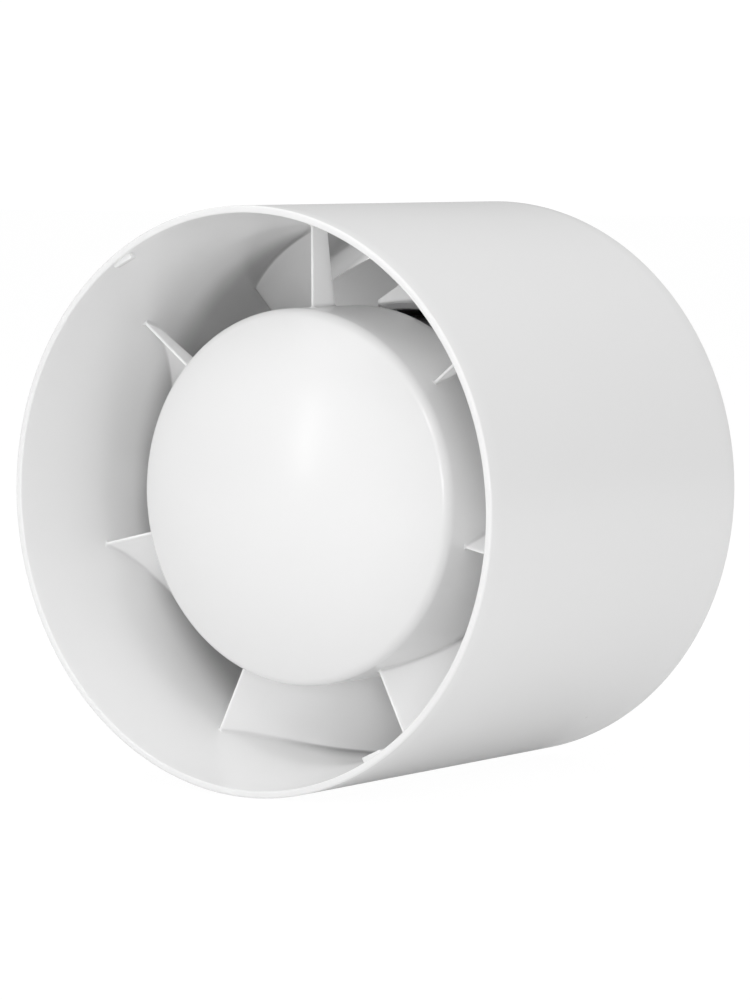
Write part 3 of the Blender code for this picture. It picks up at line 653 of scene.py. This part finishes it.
def cup_profile():
    outer = cup_side(0.0, dome_steps=26, fillet_steps=10)
    inner = cup_side(CUP_WALL, dome_steps=12, fillet_steps=4)
    side_start, side_end = outer[-1][1], CUP_END - CUP_EASE
    inner_r = CUP_R - CUP_WALL
    outer += [(CUP_R, side_start + (side_end - side_start) * i / 9) for i in range(1, 10)]
    outer += [(CUP_R - 0.1, CUP_END - 0.08), (CUP_R - CUP_EASE, CUP_END), (inner_r + CUP_EASE, CUP_END)]
    inner_side = [(inner_r, side_end - (side_end - side_start) * i / 5) for i in range(5)]
    return outer + inner_side + inner[::-1]


def vane_camber(depth):
    """(tangential offset at mid span, slope from the axis) of the vane's face
    at an axial depth from its outlet edge: an arc, then a flat."""
    start, end = rad(VANE_SLOPE_START), rad(VANE_SLOPE_END)
    if depth <= VANE_ARC_DEPTH:
        slope = math.asin(min(math.sin(start) + depth / VANE_ARC_R, math.sin(end)))
        return VANE_ARC_R * (math.cos(start) - math.cos(slope)), slope
    x, _ = vane_camber(VANE_ARC_DEPTH)
    return x + (depth - VANE_ARC_DEPTH) * math.tan(end), end


def vane_stops():
    """(depth, how much each face is drawn in) along the chord."""
    total = VANE_ARC_DEPTH + VANE_FLAT_DEPTH
    stops = [(0.0, 0.13), (0.05, 0.05), (0.14, 0.0)]
    stops += [(0.14 + (total - 0.64) * (i / 30) ** 1.15, 0.0) for i in range(1, 31)]
    stops += [(total - 0.3, 0.07), (total - 0.14, 0.2), (total - 0.04, 0.38), (total, 0.55)]
    return stops


def vane_radii():
    """Close together in the fillets; both ends are sunk into the walls."""
    span = THROAT_R - CUP_R - 2 * VANE_FILLET
    radii = [CUP_R + step for step in (-0.55, 0.0, 0.06, 0.16, 0.3, VANE_FILLET)]
    radii += [CUP_R + VANE_FILLET + span * i / 7 for i in range(1, 7)]
    radii += [THROAT_R + step for step in (-VANE_FILLET, -0.3, -0.16, -0.06, 0.0, 0.4)]
    return radii


def vane(k):
    base = 360.0 * k / VANES + VANE_PHASE
    rows = []
    for radius in vane_radii():
        row = []
        for depth, pinch in vane_stops():
            x, mid_slope = vane_camber(depth)
            slope = math.atan(math.tan(mid_slope) * radius / VANE_MID_R)
            station = VANE_START + depth
            # the inner fillet fades out at the end of the cup
            on_cup = 1.0 - smooth((station - CUP_END + 0.9) / 0.6)
            flare = fillet_flare(THROAT_R - radius, VANE_FILLET)
            flare += fillet_flare(radius - CUP_R, VANE_FILLET) * on_cup
            thick = VANE_EDGE_THICK + VANE_THICKENING * smooth(depth / VANE_THICKENING_RUN)
            pair = []
            for offset in (flare - pinch, -(thick + flare - pinch)):
                # along the face's normal: towards the outlet and against the angle
                along = -math.sin(slope) * offset
                across = math.cos(slope) * offset
                angle = base - math.degrees(x / VANE_MID_R) - math.degrees(across / radius)
                pair.append(on_fan(angle, radius, station + along))
            row.append(tuple(pair))
        rows.append(row)
    return paired(f"vane_blank_{k}", rows)


def nib(k, angle):
    """A small wedge inside the outlet lip, thicker at one end."""
    seat_r = tube_inner(NIB_SEAT)
    verts = [
        on_fan(angle + turn, radius, station)
        for turn, height in zip((-NIB_HALF_ANGLE, NIB_HALF_ANGLE), NIB_HEIGHTS)
        for station in (NIB_START, NIB_END)
        for radius in (seat_r + NIB_SUNK, seat_r - height)
    ]
    obj = add_object(f"nib_blank_{k}", verts, BOX_FACES)
    with editing(obj) as bm:
        bmesh.ops.recalc_face_normals(bm, faces=bm.faces)
        bmesh.ops.bevel(
            bm, geom=bm.edges[:], offset=NIB_EASE * MM, segments=2, affect="EDGES", profile=0.5
        )
    return obj


def boss_rods(name, radius, length, start):
    return [
        rod(f"{name}_{k}", radius, length, axial_frame(45 + 90 * k, BOSS_CIRCLE_R, start))
        for k in range(BOSSES)
    ]


def build_housing():
    housing = revolved("duct_housing_shell", tube_profile(), 288)
    cup = revolved("cup_blank", cup_profile(), 224, closed=False)
    vanes = [vane(k) for k in range(VANES)]
    nibs = [nib(k, angle) for k, angle in enumerate(NIB_ANGLES)]
    bosses = boss_rods("boss", BOSS_R, BOSS_LENGTH, BOSS_START)
    pilots = boss_rods("pilot", PILOT_R, PILOT_LENGTH, PILOT_START)
    hole_frame = radial_frame(-90.0, HOLE_FROM_R, HOLE_STATION)
    hole = rod("cable_hole", HOLE_R, HOLE_LENGTH, hole_frame)
    united(housing, [cup] + bosses + vanes + nibs, pilots + [hole])
    fit(housing, WHITE, 30.0, body="fan_body", node="duct_housing")


# -------------------------------------------------------------- the impeller
def blade_edge_depth(span):
    """Depth of the outlet edge, swept back from root (0) to tip (1)."""
    return 1.0 + BLADE_SWEEP * (1.0 - math.exp(-max(0.0, span - 0.13) / 0.2))


def blade_radii():
    body_start = HUB_R + BLADE_FILLET
    body_span = BLADE_TIP_R - 0.25 - body_start
    radii = [HUB_R + step for step in (-BLADE_SUNK, 0.0, 0.1, 0.25, 0.5, BLADE_FILLET)]
    radii += [body_start + body_span * i / 12 for i in range(1, 13)]
    radii += [BLADE_TIP_R - 0.08, BLADE_TIP_R]
    return radii


def blade_half_thickness(chord, radius):
    """Blunt nose at the inlet, thin edge at the outlet, eased tip, root fillet."""
    body = BLADE_HALF_THICK * (1.0 - BLADE_THINNING * (1.0 - chord) ** 1.6)
    nose = tail = 1.0
    nose_start = 1.0 - NOSE_SHARE
    if chord > nose_start:
        nose = math.sqrt(max(0.0, 1.0 - ((chord - nose_start) / NOSE_SHARE) ** 2))
    if chord < TAIL_SHARE:
        tail = math.sqrt(max(0.0, 1.0 - ((TAIL_SHARE - chord) / TAIL_SHARE) ** 2))
    half = max(0.05, body * nose * tail)
    if radius > BLADE_TIP_R - 0.2:
        half *= 0.93 if radius < BLADE_TIP_R else 0.8
    return half + fillet_flare(radius - HUB_R, BLADE_FILLET)


def blade(k):
    base = BLADE_PHASE + 360.0 * k / BLADES
    start_slope, end_slope = rad(BLADE_SLOPE_START), rad(BLADE_SLOPE_END)
    total = BLADE_END - BLADE_START
    arc_r = total / (math.sin(end_slope) - math.sin(start_slope))
    chords = [0.0, 0.004, 0.012, 0.03] + [0.03 + 0.94 * i / 22 for i in range(1, 23)]
    chords += [0.985, 0.995, 1.0]
    rows = []
    for radius in blade_radii():
        span = (radius - HUB_R + BLADE_SUNK) / (BLADE_TIP_R - HUB_R + BLADE_SUNK)
        first, last = blade_edge_depth(span), total - 1.2 * (1 - span) - 0.35
        row = []
        for chord in chords:
            depth = first + (last - first) * chord
            mid_slope = math.asin(min(1.0, math.sin(start_slope) + depth / arc_r))
            x = arc_r * (math.cos(start_slope) - math.cos(mid_slope))
            slope = math.atan(math.tan(mid_slope) * radius / BLADE_MID_R)
            half = blade_half_thickness(chord, radius)
            pair = []
            for offset in (half, -half):
                along = -math.sin(slope) * offset
                across = math.cos(slope) * offset
                angle = base + math.degrees(x / BLADE_MID_R) + math.degrees(across / radius)
                pair.append(on_fan(angle, radius, BLADE_START + depth + along))
            row.append(tuple(pair))
        rows.append(row)
    return paired(f"blade_blank_{k}", rows)


def hub_profile():
    """(radius, station) points of the hub's section."""
    side_start, side_end = HUB_START + 0.25, HUB_END - HUB_FILLET
    outer = [
        (HUB_INNER_R + 0.2, HUB_START), (HUB_R - 0.25, HUB_START),
        (HUB_R - 0.07, HUB_START + 0.07), (HUB_R, side_start),
    ]
    outer += [(HUB_R, side_start + (side_end - side_start) * i / 10) for i in range(1, 10)]
    outer += quarter_round(HUB_R - HUB_FILLET, side_end, HUB_FILLET, steps=10)
    # a shallow groove in the end face, then the raised middle
    outer += [
        (26.0, HUB_END), (25.7, HUB_END - 0.3), (25.0, HUB_END - 0.3), (24.7, HUB_END),
        (16.0, HUB_END), (10.7, HUB_END), (10.3, HUB_END + 0.1), (9.6, HUB_END + 0.85),
        (9.2, HUB_END + 1.0), (5.5, HUB_END + 1.0), (5.3, HUB_END + 0.8),
    ]
    # bore and the sleeve round it, out to the inside of the end wall
    inner = [
        (5.3, 64.8), (5.5, 64.6), (7.8, 64.6), (8.0, 64.8),
        (8.0, 68.5), (8.4, HUB_WALL_FACE), (16.0, HUB_WALL_FACE),
    ]
    corner, skirt_end = HUB_WALL_FACE - HUB_INNER_FILLET, HUB_START + 0.3
    inner += quarter_round(HUB_INNER_R - HUB_INNER_FILLET, corner, HUB_INNER_FILLET, steps=6)[::-1]
    inner += [(HUB_INNER_R, corner - (corner - skirt_end) * i / 6) for i in range(1, 7)]
    return outer + inner


def hub_rib(k):
    """A radial plate inside the end wall, midway between blade pitches."""
    place = radial_frame(360 / BLADES * (k + 0.5), RIB_MID_R, RIB_STATION)
    half_x, half_y, half_z = RIB_HALF_SIZE
    verts = [
        place @ Vector((x * MM, y * MM, z * MM))
        for x in (-half_x, half_x) for y in (-half_y, half_y) for z in (-half_z, half_z)
    ]
    return add_object(f"rib_{k}", verts, BOX_FACES)


def build_impeller():
    hub = revolved("impeller_moulding", hub_profile(), 224)
    blades = [blade(k) for k in range(BLADES)]
    ribs = [hub_rib(k) for k in range(BLADES)]
    united(hub, blades + ribs)
    fit(hub, IMPELLER, 30.0, body="rotor", node="impeller")


# ------------------------------------------- shaft, insert and retaining clip
SHAFT_PROFILE = [(0.0, 26.3), (2.6, 26.3), (3.0, 26.7), (3.0, 72.9), (2.5, 73.4), (0.0, 73.4)]
INSERT_PROFILE = [(3.2, 64.8), (5.0, 64.8), (5.0, 71.3), (3.2, 71.3)]

# (radius, outlet-side station, inlet-side station) of the clip's dish
CLIP_SECTION = [
    (7.4, 71.9, 72.4), (7.2, 71.9, 72.45), (5.8, 71.9, 72.45),
    (4.6, 71.95, 72.5), (3.9, 72.1, 72.65), (3.25, 72.4, 72.95),
]
CLIP_STEPS, CLAW_PITCH = 96, 60.0
GAP_HALF_ANGLE, GAP_R, GAP_STATIONS = 7.0, 5.0, (71.92, 72.45)


def build_shaft():
    profile = rounded(SHAFT_PROFILE, 0.1, closed=False)
    shaft = revolved("motor_shaft_ground", profile, 96, closed=False)
    fit(shaft, STEEL, 40.0, body="rotor", node="motor_shaft")


def build_insert():
    insert = revolved("impeller_insert_turned", rounded(INSERT_PROFILE, 0.12), 96)
    fit(insert, BRASS, 40.0, body="rotor", node="impeller_insert")


def build_clip():
    """Push-on retaining ring: a sprung dish with six inner claws."""
    verts, faces = [], []
    for i in range(CLIP_STEPS):
        angle = 360.0 * i / CLIP_STEPS
        # the dish is cut back between the claws
        from_gap = abs(((angle + CLAW_PITCH / 2) % CLAW_PITCH) - CLAW_PITCH / 2)
        for radius, *stations in CLIP_SECTION:
            if from_gap < GAP_HALF_ANGLE:
                radius, stations = max(radius, GAP_R), GAP_STATIONS
            verts += [on_fan(angle, radius, station) for station in stations]
    count = len(CLIP_SECTION) * 2
    for i in range(CLIP_STEPS):
        here, there = i * count, (i + 1) % CLIP_STEPS * count
        for k in range(0, count - 2, 2):
            faces.append((here + k, here + k + 2, there + k + 2, there + k))
            faces.append((here + k + 1, there + k + 1, there + k + 3, here + k + 3))
        last = count - 2
        faces.append((here, there, there + 1, here + 1))
        faces.append((here + last, here + last + 1, there + last + 1, there + last))
    obj = add_object("impeller_clip_sprung", verts, faces)
    with editing(obj) as bm:
        weld(bm, 1e-6)
        bmesh.ops.recalc_face_normals(bm, faces=bm.faces)
    fit(obj, STEEL, 35.0, body="rotor", node="impeller_clip")


# --------------------------------------------------- the nodes carried over
# by the start of the node's name; the longest match counts
FINISH = {
    "bearing_retainer": STEEL, "thrust_washer_front_outer": STEEL, "thrust_washer_rear_outer": STEEL,
    "thrust_washer_front_inner": NYLON, "thrust_washer_rear_inner": NYLON,
    "cable_gland": BLACK, "cable_grommet": GREY_RUBBER, "coil_bobbin": NYLON, "crimp_splice": NYLON,
    "felt_oil_ring": FELT, "front_bearing": BRONZE, "rear_bearing": BRONZE, "lead_wire_blue": BLUE,
    "lead_wire_brown": BROWN, "motor_front_shield": BLACK, "motor_rear_shield": BLACK,
    "motor_screw": STEEL, "rotor_core": STACK, "rotor_end_ring": ALUMINIUM, "rubber_washer": RUBBER,
    "shading_ring": COPPER, "stator_core": STACK, "supply_cable": SHEATH, "thermal_fuse": NYLON,
    "coil_winding_1": WIRE_Z, "coil_winding_2": WIRE_X, "coil_winding_3": WIRE_Z,
    "coil_winding_4": WIRE_X, "duct_housing": WHITE, "impeller_clip": STEEL,
    "impeller_insert": BRASS, "impeller": IMPELLER, "motor_shaft": STEEL,
}


def finish_nodes():
    """Give every node its material, and ease the edges of the visible ones."""
    for name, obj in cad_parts.items():
        material = FINISH[max((key for key in FINISH if name.startswith(key)), key=len)]
        materials = obj.data.materials
        if not materials:
            materials.append(material)
        for i in range(len(materials)):
            materials[i] = material
        if obj.hide_render:
            continue
        soften = obj.modifiers.new("eased edges", "BEVEL")
        soften.width = 0.00012
        soften.segments = 2
        soften.limit_method = "ANGLE"
        soften.angle_limit = rad(40.0)
        soften.harden_normals = False
        tidy = obj.modifiers.new("normals", "WEIGHTED_NORMAL")
        tidy.keep_sharp = True


# ------------------------------------------------------------------ the stage
FLOOR_HALF = 6
FLOOR_GAP = 0.00005  # keeps the floor just clear of the lowest piece
FLOOR_GLOW = 0.1
BACKDROP = 1.03  # brightness of floor and world as the camera sees them
BACKDROP_SHARE = 0.94  # the rest of the floor's look is lit paper, with its shadows


def paper_material():
    """Lit paper: it glows a little for the object and reads as white behind it."""
    material = new_material("pale_paper")
    tree = material.node_tree
    bsdf = tree.nodes["Principled BSDF"]
    grain = add_node(tree, "ShaderNodeTexNoise", {"Scale": 900.0})
    bump = add_node(
        tree, "ShaderNodeBump", {"Strength": 0.05, "Distance": 0.0001, "Height": grain.outputs["Fac"]}
    )
    fill(tree, bsdf, {
        "Base Color": rgba(0.8),
        "Roughness": 0.9,
        "Specular IOR Level": 0.1,
        "Normal": bump.outputs["Normal"],
    })
    glow = add_node(tree, "ShaderNodeEmission", {"Strength": FLOOR_GLOW})
    lit = add_node(tree, "ShaderNodeAddShader", {0: bsdf.outputs["BSDF"], 1: glow.outputs["Emission"]})
    white = add_node(tree, "ShaderNodeEmission", {"Strength": BACKDROP})
    rays = add_node(tree, "ShaderNodeLightPath")
    share = add_node(
        tree, "ShaderNodeMath", {0: rays.outputs["Is Camera Ray"], 1: BACKDROP_SHARE},
        operation="MULTIPLY",
    )
    mix = add_node(tree, "ShaderNodeMixShader", {
        "Fac": share.outputs[0], 1: lit.outputs["Shader"], 2: white.outputs["Emission"],
    })
    fill(tree, tree.nodes["Material Output"], {"Surface": mix.outputs["Shader"]})
    return material


def build_stage():
    """A pale, level floor that reaches past the edges of the view."""
    height = cad_lo.z - FLOOR_GAP
    corners = [(x * FLOOR_HALF, y * FLOOR_HALF, height) for x, y in ((-1, -1), (1, -1), (1, 1), (-1, 1))]
    floor = add_object("studio_floor", corners, [(0, 1, 2, 3)])
    floor.data.materials.append(paper_material())


# ------------------------------------------------------ soft light and camera
CAMERA_PLACE = (0.45925290477, -0.649133080085, 0.058408385805)
CAMERA_LOOK = (-0.57616632, 0.81383144, -0.07556962)
CAMERA_LENS, CAMERA_SENSOR = 165.64, 36.0  # millimetres

AMBIENT = 0.44
AMBIENT_BEHIND = 0.3
LIGHT_DISTANCE = 1.3
LIGHTS = {
    # name: (azimuth to the right of the camera, elevation, power, width, height);
    # a light with no height is a disk
    "front_box": (2.0, 28.0, 1.9, 0.3, 0.0),
    "low_front_box": (4.0, 6.0, 2.2, 0.22, 0.0),
    "right_front_box": (30.0, 28.0, 0.5, 0.3, 0.0),
    "left_high_box": (-60.0, 52.0, 3.6, 0.9, 0.0),
    "high_front_box": (0.0, 52.0, 2.6, 0.9, 0.0),
    "overhead_box": (0.0, 88.0, 2.6, 1.2, 0.0),
    "back_box": (180.0, 62.0, 1.9, 0.9, 0.0),
    "left_strip": (-58.0, 13.0, 1.0, 0.12, 0.5),
}


def build_world():
    """An even tent of light, plain white to the camera."""
    world = bpy.data.worlds.new("studio")
    bpy.context.scene.world = world
    world.use_nodes = True
    tree = world.node_tree
    tent = tree.nodes["Background"]
    fill(tree, tent, {"Color": rgba(1.0), "Strength": AMBIENT})
    seen = add_node(tree, "ShaderNodeBackground", {"Color": rgba(1.0), "Strength": BACKDROP})
    rays = add_node(tree, "ShaderNodeLightPath")
    mix = add_node(tree, "ShaderNodeMixShader", {
        "Fac": rays.outputs["Is Camera Ray"], 1: tent.outputs[0], 2: seen.outputs[0],
    })
    fill(tree, tree.nodes["World Output"], {"Surface": mix.outputs[0]})
    # the tent is open behind the fan's inlet, so less light comes from +Y
    coords = add_node(tree, "ShaderNodeTexCoord")
    split = add_node(tree, "ShaderNodeSeparateXYZ", {0: coords.outputs["Generated"]})
    fall = add_node(
        tree, "ShaderNodeMapRange",
        {"From Min": 0.45, "From Max": 0.85, "To Min": AMBIENT, "To Max": AMBIENT_BEHIND,
         "Value": split.outputs["Y"]},
        interpolation_type="SMOOTHSTEP",
    )
    fill(tree, tent, {"Strength": fall.outputs[0]})


def build_lights():
    camera_azimuth = math.atan2(-CAMERA_LOOK[1], -CAMERA_LOOK[0])
    for name, (azimuth, elevation, power, width, height) in LIGHTS.items():
        light = bpy.data.lights.new(name, "AREA")
        light.shape = "RECTANGLE" if height else "DISK"
        light.energy = power
        light.size = width
        if height:
            light.size_y = height
        obj = bpy.data.objects.new(name, light)
        turn, rise = camera_azimuth + rad(azimuth), rad(elevation)
        away = Vector((math.cos(turn) * math.cos(rise), math.sin(turn) * math.cos(rise), math.sin(rise)))
        obj.location = away * LIGHT_DISTANCE
        obj.rotation_euler = (-away).to_track_quat("-Z", "Y").to_euler()
        obj.visible_camera = False
        bpy.context.scene.collection.objects.link(obj)


def build_camera():
    data = bpy.data.cameras.new("camera")
    data.lens = CAMERA_LENS
    data.sensor_width = CAMERA_SENSOR
    data.clip_start, data.clip_end = 0.01, 10.0
    camera = bpy.data.objects.new("camera", data)
    bpy.context.scene.collection.objects.link(camera)
    look = Vector(CAMERA_LOOK).normalized()
    right = look.cross(Vector((0, 0, 1))).normalized()
    camera.matrix_world = axes_matrix(right, right.cross(look), -look, CAMERA_PLACE)
    bpy.context.scene.camera = camera


build_housing()
build_impeller()
build_shaft()
build_insert()
build_clip()
finish_nodes()
build_stage()
build_world()
build_lights()
build_camera()
bpy.context.scene.view_settings.view_transform = "Standard"
bpy.context.scene.view_settings.gamma = 1.25
